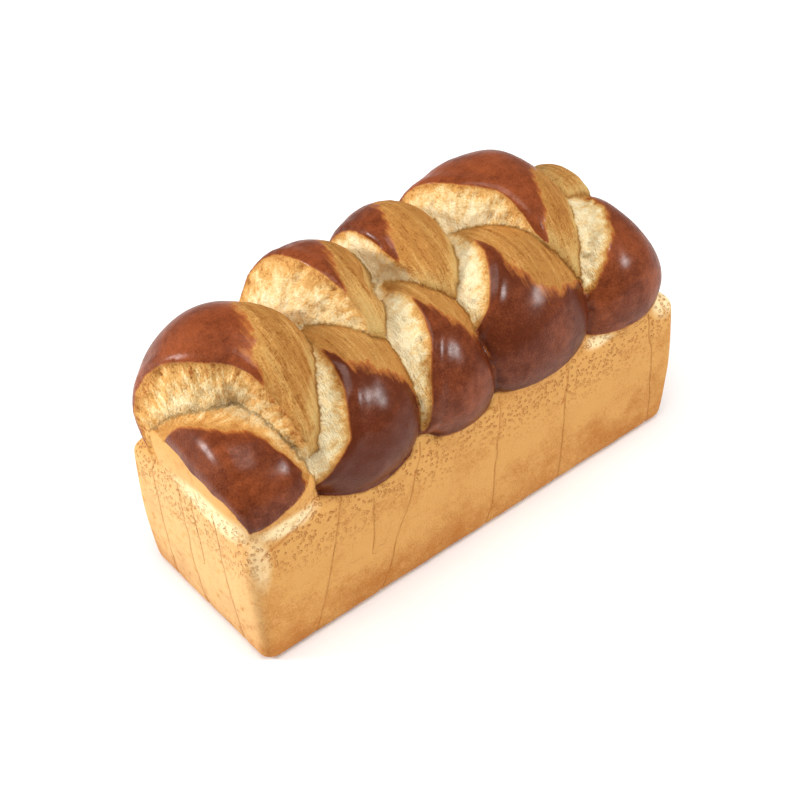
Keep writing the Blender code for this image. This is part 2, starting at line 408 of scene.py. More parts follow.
@dataclass(frozen=True)
class Fold:
    """A fine fold in a wall, where the dough creased against the tin."""

    wall: Wall
    top: float           # place along the wall at the rim, mm
    foot: float          # place along the wall at the base, mm
    low: float = 0.0     # height where it ends, mm
    high: float = 74.0   # height where it starts, mm

    WOBBLE = 1.6         # mm
    WOBBLE_SIZE = 16.0   # mm

    def distance(self, points: np.ndarray, tin: Tin, noise: DoughNoise) -> np.ndarray:
        """Signed distance of points to the fold in mm, OUT_OF_REACH off its wall or past its ends."""
        outward = np.array(self.wall.value)
        sideways = points[:, :2] @ np.array([abs(outward[1]), abs(outward[0])])
        half = tin.length / 2 if outward[0] else tin.width / 2
        height = points[:, 2]
        line = self.foot + (self.top - self.foot) * height / tin.rim
        place = np.column_stack([height, height * 0 + self.top, height * 0])
        wobble = self.WOBBLE * noise.layered(place, self.WOBBLE_SIZE, 3)
        ends = np.maximum(np.maximum(self.low - height, height - self.high), 0)
        on_wall = (points[:, :2] @ outward > half - 4) & (ends < 3)
        return np.where(on_wall, (sideways - line - wobble) * (1 + ends), OUT_OF_REACH)


@dataclass(frozen=True)
class Crack:
    """A ragged crack just under the rim of the near wall, where a lobe pulled away."""

    start: float         # place along the loaf, mm
    end: float           # place along the loaf, mm
    height: tuple        # height at both ends, mm
    width: float = 2.2   # how many times wider than a fold

    WOBBLE = 2.2         # mm
    WOBBLE_SIZE = 7.0    # mm

    def distance(self, points: np.ndarray, tin: Tin, noise: DoughNoise) -> np.ndarray:
        """Signed distance of points to the crack, in fold widths, OUT_OF_REACH away from it."""
        x, y, z = points.T
        line = np.interp(x, (self.start, self.end), self.height)
        wobble = self.WOBBLE * noise.layered(np.column_stack([x, z * 0, z * 0 + 5]), self.WOBBLE_SIZE, 3)
        near = (y < -tin.width / 2 + 8) & (x > self.start) & (x < self.end)
        return np.where(near, (z - line - wobble) / self.width, OUT_OF_REACH)


POCKETS = (
    Pocket((-16, 4, 127), 8.0, 6.0),
    Pocket((41, 24, 131), 2.0, 3.5),
    Pocket((47, 15, 134), 1.8, 3.0),
    Pocket((88, -25, 121), 2.6, 4.0),
    Pocket((84, -29, 118), 2.4, 4.0),
    Pocket((80, -32, 114), 2.6, 4.0),
    Pocket((-92, -43, 93), 2.0, 2.0),
)

BARE_PATCHES = (
    Patch((-122, -46, 64), (5, 6, 16), 0.6),
    Patch((-105, -47, 76), (17, 8, 4.5)),
    Patch((-127, -20, 78), (6, 30, 8)),
    Patch((120, -42, 76), (9, 12, 9)),
    Patch((76, -46, 75), (8, 6, 3)),
    Patch((122, 30, 76), (6, 12, 9)),
    Patch((-128, 0, 34), (5, 60, 60), 0.3),
)

FOLDS_BY_WALL = {
    Wall.NEAR: ((-77, -98), (-33, -62), (13, 4), (54, 50), (109, 112), (-60, -68, 34, 62), (56, 40, 52, 74)),
    Wall.LEFT: ((-22, -30), (6, 0), (27, 24), (-4, -12, 40, 72)),
    Wall.FAR: ((-70, -60), (-20, -26), (31, 38), (88, 84)),
    Wall.RIGHT: ((-18, -12), (20, 24)),
}
WALL_SEAMS = (*(Fold(wall, *ends) for wall, folds in FOLDS_BY_WALL.items() for ends in folds),
              Crack(-122, -88, (66, 77)))


@dataclass(frozen=True)
class Grain:
    """One kind of unevenness that dough is pushed in and out by."""

    height: float        # mm
    size: float          # mm
    layers: int = 2

    def push(self, noise: DoughNoise, points: np.ndarray) -> np.ndarray:
        """How far each point is pushed, in millimetres."""
        return self.height * noise.layered(points, self.size, self.layers)


@dataclass
class Loaf:
    """The whole loaf: shape, surface and what each point of it is."""

    WALL_SQUEEZE = 0.4       # share of its height that the plain wall keeps in the remesh
    SQUEEZE_START = 15.0     # how far below the rim the plain wall starts, mm
    FUSE_ROUNDS = 28
    REACH = 12.0             # how far from a point a strand is looked for, mm
    NOWHERE = 99.0           # the distance to a strand that is out of reach, mm
    SIDE_ZONE = 34.0         # how far from the middle the dough leaned on a long wall, mm
    END_ZONE = 118.0         # how far from the middle a strand leaned on a short wall, mm
    CORE_END = 110.0         # how far from the middle the core ends as plain wall, mm
    CORE_HEM = 86.0          # below this height the core's sides are plain wall, mm
    SEAM_PALE = (0.7, 7.0)   # how pale the far row is at a seam, and how far from it, mm
    CREASE_WIDTH = 1.8       # mm
    CREASE_DEPTH = 1.2       # mm
    GLAZE_LIMIT = 6.0        # depths of glaze past this are all the same, mm
    FUSE_WIDTH = 5.0         # how far from a seam the dough flows together, mm
    SWELL = Grain(0.8, 24)
    LUMPS = Grain(1.3, 12)
    COARSE_TEAR = Grain(1.26, 5, 3)
    STRINGY_TEAR = Grain(0.98, 3.5)
    TEAR_SINK = 0.4          # mm
    HOLE_DEPTH = 1.3         # mm
    STREAKS = Grain(0.4, 3.5)
    FLAKES = Grain(0.35, 4)
    LIP_HEIGHT = 0.7         # mm
    LIP_RAGS = Grain(0.9, 5)
    WALL_WAVES = Grain(0.25, 18)
    FOLD_DEPTH = 0.35        # mm
    MARKS = ("glaze", "torn", "toast", "face", "wall", "seam", "crease", "bare", "pale", "bake")

    strands: tuple = FAR_STRANDS + NEAR_STRANDS
    tin: Tin = field(default_factory=Tin)
    voxel: float = 1.2
    quick_voxel: float = 1.7
    noise: DoughNoise = field(default_factory=lambda: DoughNoise(11))
    points: np.ndarray = field(init=False)  # the skin, N by 3 places in mm
    faces: np.ndarray = field(init=False)   # its quads
    edges: np.ndarray = field(init=False)   # its pairs of neighbouring points
    marks: dict = field(init=False)         # what each point is, one array per name

    def build(self) -> bpy.types.Object:
        """Grow, sculpt and describe the loaf's skin.

        Returns:
            The finished object, named crust.
        """
        skins = [strand.skin() for strand in self.strands]
        self.keep_outer_shell(self.grown(skins + [self.tin.skin(), self.tin.core_skin()]))
        LOG.info("skin grown: %d points", len(self.points))
        self.points = self.squeezed(self.averaged(self.points, 3), undo=True)
        self.read_places(skins)
        self.describe()
        self.fuse()
        self.work()
        return self.finished()

    def grown(self, skins: list) -> bpy.types.Mesh:
        """Join the lofts and remesh them into one even skin.

        Args:
            skins: closed lofts that overlap.

        Returns:
            The remeshed mesh, in millimetres.
        """
        verts, faces = [], []
        for skin in skins:
            start = len(verts)
            verts += self.squeezed(skin.points.reshape(-1, 3)).tolist()
            faces += [tuple(start + k for k in face) for face in skin.faces()]
        mesh = bpy.data.meshes.new("dough")
        mesh.from_pydata(verts, [], faces)
        dough = bpy.data.objects.new("dough", mesh)
        bpy.context.collection.objects.link(dough)
        shape = bmesh.new()
        shape.from_mesh(mesh)
        bmesh.ops.recalc_face_normals(shape, faces=shape.faces)
        shape.to_mesh(mesh)
        shape.free()
        remesh = dough.modifiers.new("skin", "REMESH")
        remesh.mode = "VOXEL"
        remesh.voxel_size = self.voxel
        evaluated = dough.evaluated_get(bpy.context.evaluated_depsgraph_get())
        result = bpy.data.meshes.new_from_object(evaluated)
        bpy.data.objects.remove(dough)
        bpy.data.meshes.remove(mesh)
        return result

    def squeezed(self, points: np.ndarray, undo: bool = False) -> np.ndarray:
        """Press the plain walls flat, so that the remesh spends fewer points on them.

        Args:
            points: N by 3 places in millimetres.
            undo: stretch pressed points back.

        Returns:
            The moved points.
        """
        level = self.tin.rim - self.SQUEEZE_START
        factor = 1 / self.WALL_SQUEEZE if undo else self.WALL_SQUEEZE
        height = points[:, 2]
        pressed = np.where(height < level, level + (height - level) * factor, height)
        return np.column_stack([points[:, :2], pressed])

    def keep_outer_shell(self, mesh: bpy.types.Mesh) -> None:
        """Keep the largest skin and drop shells that closed inside it.

        Args:
            mesh: the remeshed skin, removed afterwards.
        """
        points = np.empty(len(mesh.vertices) * 3)
        mesh.vertices.foreach_get("co", points)
        points = points.reshape(-1, 3)
        faces = np.empty(len(mesh.loops), int)
        mesh.loops.foreach_get("vertex_index", faces)
        faces = faces.reshape(-1, 4)
        bpy.data.meshes.remove(mesh)
        label = np.arange(len(points))
        while True:
            lowest = label[faces].min(axis=1)
            spread = label.copy()
            for k in range(4):
                np.minimum.at(spread, faces[:, k], lowest)
            spread = spread[spread]
            if np.array_equal(spread, label):
                break
            label = spread
        names, counts = np.unique(label, return_counts=True)
        kept = label == names[counts.argmax()]
        number = np.cumsum(kept) - 1
        self.points, self.faces = points[kept], number[faces[kept[faces[:, 0]]]]
        pairs = np.concatenate([self.faces[:, [k, (k + 1) % 4]] for k in range(4)])
        self.edges = np.unique(np.sort(pairs, axis=1), axis=0)

    def averaged(self, values: np.ndarray, rounds: int) -> np.ndarray:
        """Blur values over neighbouring points.

        Args:
            values: one number or one row per point.
            rounds: how many times to blur.

        Returns:
            The blurred values, shaped like the given ones.
        """
        values = values.reshape(len(values), -1).astype(float)
        start, end = self.edges.T
        count = np.bincount(self.edges.ravel(), minlength=len(values))[:, None]
        for _ in range(rounds):
            total = np.stack([np.bincount(start, column[end], len(values))
                              + np.bincount(end, column[start], len(values)) for column in values.T], axis=1)
            values = 0.5 * values + 0.5 * total / count
        return values.squeeze()

    def read_places(self, skins: list) -> None:
        """Mark what each point belongs to and where it lies on it.

        The marks are owner, angle and fraction on the owner, and in millimetres the run along it, the
        offset from its crest and the gap to the next strand.

        Args:
            skins: the strands' lofts, in their order.
        """
        points, total = self.points, len(self.points)
        nearest = np.full(total, self.NOWHERE)
        second = np.full(total, self.NOWHERE)
        owner = np.full(total, Part.TIN.value)
        angle, fraction, run, offset = (np.zeros(total) for _ in range(4))
        above = np.flatnonzero(points[:, 2] > self.tin.rim - self.REACH)
        spots = [Vector(p) for p in points[above]]
        for number, (strand, skin) in enumerate(zip(self.strands, skins)):
            found = self.nearest_on(skin, spots)
            hit = np.array([f[2] is not None for f in found])
            where, face, distance = (np.array([f[k] for f in found if f[2] is not None]) for k in (0, 2, 3))
            place = above[hit]
            ring, side = skin.place_on(face, where)
            closer = distance < nearest[place]
            second[place] = np.where(closer, nearest[place], np.minimum(second[place], distance))
            won, ring = place[closer], ring[closer]
            nearest[won] = distance[closer]
            owner[won] = number
            fraction[won] = ring / (strand.RINGS - 1)
            angle[won] = side[closer] / strand.SIDES * 2 * math.pi - math.pi
            run[won] = np.interp(ring, np.arange(strand.RINGS), strand.length())
            radius = np.interp(ring, np.arange(strand.RINGS), strand.stations()[:, 3:5].mean(axis=1))
            offset[won] = (angle[won] - np.radians(along(strand.crest, fraction[won]))) * radius
        core_gap = np.array([self.NOWHERE if f[2] is None else f[3]
                             for f in self.nearest_on(self.tin.core_skin(), spots)])
        inside = core_gap < nearest[above]
        owner[above[inside]] = Part.CORE.value
        second[above] = np.where(inside, nearest[above], np.minimum(second[above], core_gap))
        nearest[above] = np.minimum(nearest[above], core_gap)
        owner[(points[:, 2] < self.tin.rim + 1) & (nearest > 1.2)] = Part.TIN.value
        self.marks = {"owner": owner, "angle": angle, "fraction": fraction, "run": run, "offset": offset,
                      "gap": second}

    def nearest_on(self, skin: Skin, spots: list) -> list:
        """The nearest place, normal, quad and distance on a loft for each spot, None out of reach."""
        tree = skin.tree()
        return [tree.find_nearest(spot, self.REACH) for spot in spots]

    def normals(self) -> np.ndarray:
        """Unit normals at the points."""
        corners = self.faces.T
        a, b, c, d = (self.points[corner] for corner in corners)
        normals = np.stack([sum(np.bincount(corner, facing, len(self.points)) for corner in corners)
                            for facing in np.cross(c - a, d - b).T], axis=1)
        return normals / np.maximum(np.linalg.norm(normals, axis=1), 1e-9)[:, None]

    def describe(self) -> None:
        """Add MARKS to the marks: glaze and seam are distances in mm, the rest run from 0 to 1."""
        points, marks, total = self.points, self.marks, len(self.points)
        owner, gap = marks["owner"], np.maximum(marks["gap"], 0)
        beside = np.abs(points[:, 1]) > self.SIDE_ZONE
        glaze = np.full(total, -self.GLAZE_LIMIT)
        torn, face, pale = np.zeros(total), np.zeros(total), np.zeros(total)
        toast, bake = np.ones(total), np.full(total, 0.5)
        below_hem = np.zeros(total, bool)
        for number, strand in enumerate(self.strands):
            mine = owner == number
            x, z = points[mine, 0], points[mine, 2]
            fraction, angle, offset = (marks[key][mine] for key in ("fraction", "angle", "offset"))
            inner = (np.interp(offset, strand.GLAZE_OFFSETS, strand.glaze) - fraction) * strand.length()[-1]
            edge = offset - along(strand.edge, fraction)
            hem = strand.hem - strand.hem_sag * np.cos(angle) ** 4
            hem = hem + strand.hem_slope * (x - strand.route[0][0])
            off_next = 3 * (marks["gap"][mine] - strand.rim)
            glaze[mine] = np.minimum.reduce([edge, inner, z - hem, off_next])
            below_hem[mine] = (z < hem) & beside[mine]
            pale[mine] = smooth_step(*strand.fade, fraction)
            bake[mine] = strand.bake
            face[mine] = strand.stretch * smooth_step(2, -3, inner)
            if strand.lip == 0:
                below_hem[mine] |= (edge < 0) & (x < -self.END_ZONE)
                torn[mine] = 0.75 * smooth_step(0, -4, inner)
                toast[mine] = np.exp(np.minimum(inner, 0) / 16)
            else:
                torn[mine] = smooth_step(0.3, -1.2, edge)
                toast[mine] = np.exp(np.minimum(edge, 0) / strand.toast) * (1 - 0.6 * pale[mine])
        core = owner == Part.CORE.value
        plain_core = core & ((points[:, 2] < self.CORE_HEM) & beside | (np.abs(points[:, 0]) > self.CORE_END))
        torn[core], toast[core] = 1, 0
        on_wall = (owner == Part.TIN.value) | plain_core | below_hem
        wall = self.averaged(on_wall, 2)
        torn, toast, face = self.averaged(np.stack([torn, toast, face], axis=1), 1).T
        far_row = (owner >= 0) & (owner < len(FAR_STRANDS)) | core
        most, width = self.SEAM_PALE
        pale = np.maximum(pale, most * np.exp(-(gap / width) ** 2) * far_row)
        seam = np.full(total, OUT_OF_REACH)
        for fold in WALL_SEAMS:
            away = fold.distance(points, self.tin, self.noise)
            seam = np.where(np.abs(away) < np.abs(seam), away, seam)
        glaze = np.clip(glaze, -self.GLAZE_LIMIT, self.GLAZE_LIMIT)
        # crease also masks the painted shade that the finish multiplies into the creases between strands
        marks.update(glaze=self.averaged(glaze, 2), torn=torn, toast=toast, face=face, wall=wall,
                     seam=seam, crease=np.exp(-(gap / self.CREASE_WIDTH) ** 2) * (1 - wall),
                     bare=np.max([patch.share(points) for patch in BARE_PATCHES], axis=0),
                     pale=self.averaged(pale, 3), bake=self.averaged(bake, 2))

    def fuse(self) -> None:
        """Let bare dough flow together where strands meet; glazed caps stay apart."""
        marks = self.marks
        by_gap = np.exp(-(np.maximum(marks["gap"], 0) / self.FUSE_WIDTH) ** 2)
        share = by_gap * smooth_step(1, -3, marks["glaze"]) * (1 - marks["wall"])
        at_rim = smooth_step(6, 0, np.abs(self.points[:, 2] - self.tin.rim))
        share = np.maximum(share, at_rim * smooth_step(-110, -120, self.points[:, 0]))
        share = self.averaged(share, 3)[:, None]
        for _ in range(self.FUSE_ROUNDS):
            self.points = self.points + share * (self.averaged(self.points, 1) - self.points)

    def work(self) -> None:
        """Push the skin in and out along its normals, like worked dough."""
        noise, points, marks = self.noise, self.points, self.marks
        torn, face, wall, offset, run = (marks[key] for key in ("torn", "face", "wall", "offset", "run"))
        along_strand = np.column_stack([points[:, 0], run * 0.14, offset * 0.14])
        across_strand = np.column_stack([run, offset * 0.25, points[:, 0] * 0.2])
        holes = smooth_step(0.35, 0.75, noise.layered(points + 40, 4, 2))
        ragged = (self.COARSE_TEAR.push(noise, points) + self.STRINGY_TEAR.push(noise, across_strand)
                  + self.LUMPS.push(noise, points + 90) - self.TEAR_SINK - self.HOLE_DEPTH * holes)
        streaked = self.STREAKS.push(noise, along_strand) + self.FLAKES.push(noise, points)
        rags = np.clip(0.8 + self.LIP_RAGS.push(noise, across_strand), 0, 2)
        lip = np.exp(-((offset - 0.8) / 1.4) ** 2) * (np.abs(marks["glaze"]) < 4)
        rolled = np.exp(-((offset - 4.5) / 3.2) ** 2) * smooth_step(0, 3, marks["glaze"])
        edge = (marks["owner"] >= 0) * (self.LIP_HEIGHT * rags * lip + rolled)
        top = self.SWELL.push(noise, points) + torn * ragged + face * (1 - torn) * streaked + edge
        fold = self.FOLD_DEPTH * np.exp(-(marks["seam"] / 0.9) ** 2)
        push = (1 - wall) * top + wall * (self.WALL_WAVES.push(noise, points) - fold)
        push -= self.CREASE_DEPTH * marks["crease"]
        for pocket in POCKETS:
            away = np.linalg.norm(points - np.array(pocket.centre), axis=1)
            push -= pocket.depth * np.exp(-(away / pocket.radius) ** 2)
        self.points = points + self.normals() * push[:, None]

    def finished(self) -> bpy.types.Object:
        """Store the skin and its marks as a Blender object, centred on its base.

        Returns:
            The object.
        """
        marks, low, high = self.marks, self.points.min(axis=0), self.points.max(axis=0)
        points = self.points - [(low[0] + high[0]) / 2, (low[1] + high[1]) / 2, low[2]]
        mesh = bpy.data.meshes.new("crust")
        mesh.from_pydata((points * MM).tolist(), [], self.faces.tolist())
        mesh.shade_smooth()
        for name in self.MARKS:
            layer = mesh.attributes.new(name, "FLOAT", "POINT")
            layer.data.foreach_set("value", marks[name].astype(np.float32))
        lie = np.column_stack([points[:, 0], marks["run"], marks["offset"]]).astype(np.float32)
        mesh.attributes.new("lie", "FLOAT_VECTOR", "POINT").data.foreach_set("vector", lie.ravel())
        crust = bpy.data.objects.new("crust", mesh)
        bpy.context.collection.objects.link(crust)
        return crust


def linear(red: int, green: int, blue: int) -> tuple[float, float, float, float]:
    """A display colour, 0 to 255, as the linear colour that shaders take."""
    shares = [value / 255 for value in (red, green, blue)]
    return *(s / 12.92 if s <= 0.04045 else ((s + 0.055) / 1.055) ** 2.4 for s in shares), 1.0


@dataclass
class Graph:
    """A node tree of a material or a group that is being wired."""

    tree: bpy.types.NodeTree

    def add(self, kind: str, **settings) -> bpy.types.Node:
        """Add a node and set its properties."""
        node = self.tree.nodes.new(kind)
        for name, value in settings.items():
            setattr(node, name, value)
        return node

    def feed(self, target: Socket, value: Value) -> None:
        """Wire an output to an input, or set the input to a plain value."""
        if isinstance(value, Socket):
            self.tree.links.new(value, target)
        else:
            target.default_value = value

    def mark(self, name: str) -> Socket:
        """The value of one of the skin's marks."""
        return self.add("ShaderNodeAttribute", attribute_name=name).outputs["Fac"]

    def math(self, operation: str, first: Value, second: Value = 0.0) -> Socket:
        """A sum, product or the like of two values."""
        node = self.add("ShaderNodeMath", operation=operation)
        self.feed(node.inputs[0], first)
        self.feed(node.inputs[1], second)
        return node.outputs[0]

    def times(self, first: Value, second: Value) -> Socket:
        """The product of two values."""
        return self.math("MULTIPLY", first, second)

    def total(self, *terms: tuple) -> Socket:
        """The sum of terms, each a pair of a value and its weight."""
        result, weight = terms[0]
        result = self.times(result, weight)
        for value, weight in terms[1:]:
            result = self.math("ADD", result, self.times(value, weight))
        return result

    def ease(self, value: Value, low: float, high: float, at_low: float = 0.0,
             at_high: float = 1.0) -> Socket:
        """Ease from one result to another while a value goes from low to high.

        Args:
            value: what is eased.
            low: where the result is at_low.
            high: where the result is at_high; it may lie below low.
            at_low: the first result.
            at_high: the second result.

        Returns:
            The eased value.
        """
        node = self.add("ShaderNodeMapRange", interpolation_type="SMOOTHSTEP")
        for name, number in (("Value", value), ("From Min", low), ("From Max", high), ("To Min", at_low),
                             ("To Max", at_high)):
            self.feed(node.inputs[name], number)
        return node.outputs[0]

    def scaled(self, vector: Socket, factors: tuple) -> Socket:
        """A vector with each axis multiplied by its own factor."""
        node = self.add("ShaderNodeVectorMath", operation="MULTIPLY")
        self.feed(node.inputs[0], vector)
        node.inputs[1].default_value = factors
        return node.outputs[0]

    def axis(self, vector: Socket, name: str) -> Socket:
        """One axis of a vector."""
        node = self.add("ShaderNodeSeparateXYZ")
        self.feed(node.inputs[0], vector)
        return node.outputs[name]

    def noise(self, vector: Socket, scale: float, detail: float, roughness: float) -> Socket:
        """Noise around 0, mostly from -0.5 to 0.5.

        Args:
            vector: where it is read.
            scale: cells per unit.
            detail: finer layers.
            roughness: strength of the finer layers.

        Returns:
            The noise.
        """
        node = self.add("ShaderNodeTexNoise")
        names = ("Vector", "Scale", "Detail", "Roughness")
        for name, value in zip(names, (vector, scale, detail, roughness)):
            self.feed(node.inputs[name], value)
        return self.times(self.math("SUBTRACT", node.outputs["Fac"], 0.5), 1.8)

    def mix(self, share: Value, first: Value, second: Value, blend: str = "MIX") -> Socket:
        """Blend the second colour over the first by a share.

        Args:
            share: 0 for the first, 1 for the second.
            first: a colour.
            second: another colour.
            blend: how the second is laid over the first.

        Returns:
            The blended colour.
        """
        node = self.add("ShaderNodeMix", data_type="RGBA", blend_type=blend)
        for name, value in (("Factor_Float", share), ("A_Color", first), ("B_Color", second)):
            self.feed(next(socket for socket in node.inputs if socket.identifier == name), value)
        return next(socket for socket in node.outputs if socket.identifier == "Result_Color")


class Effect:
    """A shader node group with one vector input and named outputs, built once and placed by name."""

    name = "effect"
    takes = "Place"
    gives: tuple = ()

    def wire(self, graph: Graph, vector: Socket) -> dict:
        """Wire the inside of the group.

        Args:
            graph: the group's node tree.
            vector: its input.

        Returns:
            Its outputs by name.
        """
        raise NotImplementedError

    def tree(self) -> bpy.types.NodeTree:
        """The group's node tree, built when it is first asked for."""
        if self.name in bpy.data.node_groups:
            return bpy.data.node_groups[self.name]
        tree = bpy.data.node_groups.new(self.name, "ShaderNodeTree")
        tree.interface.new_socket(self.takes, in_out="INPUT", socket_type="NodeSocketVector")
        for name in self.gives:
            tree.interface.new_socket(name, in_out="OUTPUT", socket_type="NodeSocketFloat")
        graph = Graph(tree)
        entry = graph.add("NodeGroupInput")
        leave = graph.add("NodeGroupOutput")
        for name, result in self.wire(graph, entry.outputs[self.takes]).items():
            graph.feed(leave.inputs[name], result)
        return tree

    def place(self, graph: Graph, vector: Socket) -> dict:
        """Add the group to a material.

        Args:
            graph: the material's node tree.
            vector: where the effect is read.

        Returns:
            Its outputs by name.
        """
        node = graph.add("ShaderNodeGroup", node_tree=self.tree(), label=self.name)
        graph.feed(node.inputs[self.takes], vector)
        return {name: node.outputs[name] for name in self.gives}


class Fibres(Effect):
    """Streaks of stretched dough, along the strand and down from its crest."""

    name = "dough_fibres"
    takes = "Lie"
    gives = ("Along", "Strings", "Drips")
    STREAKS = {"Along": ((1.9, 0.3, 0.3), 3.0, 0.6), "Strings": ((0.42, 0.03, 0.03), 2.0, 0.5),
               "Drips": ((0.1, 0.6, 0.14), 4.0, 0.65)}

    def wire(self, graph: Graph, vector: Socket) -> dict:
        """Read noise that is drawn out along one direction of the strand."""
        return {name: graph.noise(graph.scaled(vector, factors), 1.0, detail, roughness)
                for name, (factors, detail, roughness) in self.STREAKS.items()}


class Crumbs(Effect):
    """Uneven browning in three sizes, and specks, for anything baked."""

    name = "uneven_browning"
    gives = ("Broad", "Patches", "Grain", "Specks")
    SIZES = {"Broad": (45, 2.0, 0.5), "Patches": (230, 3.0, 0.6), "Grain": (1100, 3.0, 0.6),
             "Specks": (1700, 1.0, 0.5)}

    def wire(self, graph: Graph, vector: Socket) -> dict:
        """Read plain noise at each size, and only the rare peaks of the finest."""
        found = {name: graph.noise(vector, *size) for name, size in self.SIZES.items()}
        return {**found, "Specks": graph.ease(found["Specks"], 0.38, 0.6)}


class Pores(Effect):
    """Small browned pits where steam left between dough and tin."""

    name = "tin_pores"
    gives = ("Pits", "Rims")
    CELLS_PER_METRE = 460

    def wire(self, graph: Graph, vector: Socket) -> dict:
        """Take the middles of uneven cells as pits, and the rings round them as their rims."""
        cells = graph.add("ShaderNodeTexVoronoi")
        graph.feed(cells.inputs["Vector"], vector)
        cells.inputs["Scale"].default_value = self.CELLS_PER_METRE
        uneven = graph.times(graph.noise(vector, 190, 2.0, 0.55), 0.42)
        away = graph.math("SUBTRACT", cells.outputs["Distance"], uneven)
        return {"Pits": graph.ease(away, 0.4, 0.2),
                "Rims": graph.times(graph.ease(away, 0.1, 0.26), graph.ease(away, 0.46, 0.34))}


@dataclass(frozen=True)
class BakedCrust:
    """The finish of the loaf: glossy dark caps, golden stretched dough, pale tears and matte walls."""

    cap_dark: tuple = linear(86, 34, 12)
    cap_red: tuple = linear(146, 72, 36)
    cap_edge: tuple = linear(176, 104, 48)
    face_gold: tuple = linear(192, 134, 68)
    face_light: tuple = linear(222, 172, 100)
    face_brown: tuple = linear(150, 88, 36)
    face_pale: tuple = linear(216, 182, 116)
    tear_pale: tuple = linear(252, 234, 190)
    tear_cream: tuple = linear(244, 212, 152)
    tear_gold: tuple = linear(222, 168, 96)
    tear_brown: tuple = linear(170, 100, 46)
    wall_gold: tuple = linear(214, 160, 92)
    wall_brown: tuple = linear(184, 118, 56)
    wall_pale: tuple = linear(246, 222, 172)
    # browned rims of the pits, and painted shade along the wall folds and the crack
    pore_brown_and_fold_shade: tuple = linear(176, 98, 42)
    # painted shade, multiplied into the creases and hollows between strands
    painted_crease_shade: tuple = (0.52, 0.36, 0.18, 1)
    gloss_tint: tuple = (1, 0.62, 0.42, 1)
    specular: float = 0.1
    coat_least: float = 0.12
    coat_most: float = 0.32
    coat_roughness: float = 0.22
    coat_index: float = 1.5
    dull: float = 0.74
    relief_depth: float = 0.0008  # m
    pore_foot: float = 0.038      # height where the band of pores starts, m
    pore_top: float = 0.086       # height where it ends, m

    def material(self) -> bpy.types.Material:
        """Wire the whole finish.

        Returns:
            The material.
        """
        material = bpy.data.materials.new("baked_crust")
        material.use_nodes = True
        graph = Graph(material.node_tree)
        shader = material.node_tree.nodes["Principled BSDF"]
        place = graph.add("ShaderNodeTexCoord").outputs["Object"]
        lie = graph.add("ShaderNodeAttribute", attribute_name="lie").outputs["Vector"]
        offset, z = graph.axis(lie, "Z"), graph.axis(place, "Z")
        noise = {**Fibres().place(graph, lie), **Crumbs().place(graph, place)}
        pores = Pores().place(graph, place)
        depth = self.glaze_depth(graph, offset, z, noise)
        cap = graph.ease(depth, -0.3, 0.5)
        dough = graph.mix(graph.mark("torn"), self.face_colour(graph, noise), self.tear_colour(graph, noise))
        top = graph.mix(cap, dough, self.cap_colour(graph, depth, noise))
        band = graph.times(graph.ease(z, self.pore_foot, 0.066), graph.ease(z, self.pore_top, 0.08))
        porous = graph.times(band, graph.ease(noise["Broad"], -0.5, 0.0))
        pits, rims = (graph.times(pores[name], porous) for name in ("Pits", "Rims"))
        wall_share = graph.ease(graph.mark("wall"), 0.35, 0.65)
        colour = graph.mix(wall_share, top, self.wall_colour(graph, z, rims, noise))
        # painted shade in the creases between strands, stronger on glazed and golden dough than on torn dough
        crease = graph.times(graph.mark("crease"), graph.ease(graph.mark("torn"), 0.0, 1.0, 0.8, 0.35))
        gloss = graph.times(cap, graph.math("SUBTRACT", 1.0, wall_share))
        uneven_coat = graph.ease(noise["Patches"], -0.5, 0.3, self.coat_least, self.coat_most)
        for name, value in (
                ("Base Color", graph.mix(crease, colour, self.painted_crease_shade, "MULTIPLY")),
                ("Roughness", graph.total((self.dull, 1), (gloss, -0.3), (noise["Grain"], 0.12))),
                ("Coat Weight", graph.times(gloss, uneven_coat)),
                ("Coat Roughness", self.coat_roughness),
                ("Coat IOR", self.coat_index),
                ("Specular IOR Level", self.specular),
                ("Specular Tint", self.gloss_tint),
                ("Normal", self.relief(graph, gloss, wall_share, pits, noise))):
            graph.feed(shader.inputs[name], value)
        return material

    def glaze_depth(self, graph: Graph, offset: Socket, z: Socket, noise: dict) -> Socket:
        """How far inside the glaze a point is, in mm, ragged where the dough stretched.

        Args:
            graph: the material's nodes.
            offset: distance from the crest, mm.
            z: height, m.
            noise: outputs of the fibres and the uneven browning.

        Returns:
            The depth; above 0 is glazed.
        """
        ragged = graph.total((noise["Patches"], 2.6), (noise["Strings"], 3.2), (noise["Along"], 1.2))
        loose = graph.times(graph.ease(offset, 1.0, 7.0), graph.ease(z, 0.082, 0.092))
        share = graph.total((loose, 0.85), (0.15, 1))
        sharp = graph.ease(loose, 0.0, 1.0, 2.6, 1.0)
        return graph.times(sharp, graph.total((graph.mark("glaze"), 1), (ragged, share)))

    def cap_colour(self, graph: Graph, depth: Socket, noise: dict) -> Socket:
        """Dark brown with redder patches, light specks and an orange border."""
        mottle = graph.total((noise["Patches"], 0.8), (noise["Broad"], 1), (noise["Grain"], 0.8),
                             (graph.mark("bake"), -1.5))
        deep = graph.mix(graph.ease(mottle, -1.5, 0.3), self.cap_dark, self.cap_red)
        speckled = graph.mix(graph.times(noise["Specks"], 0.6), deep, self.cap_edge)
        return graph.mix(graph.ease(depth, -0.3, 2.6), self.cap_edge, speckled)

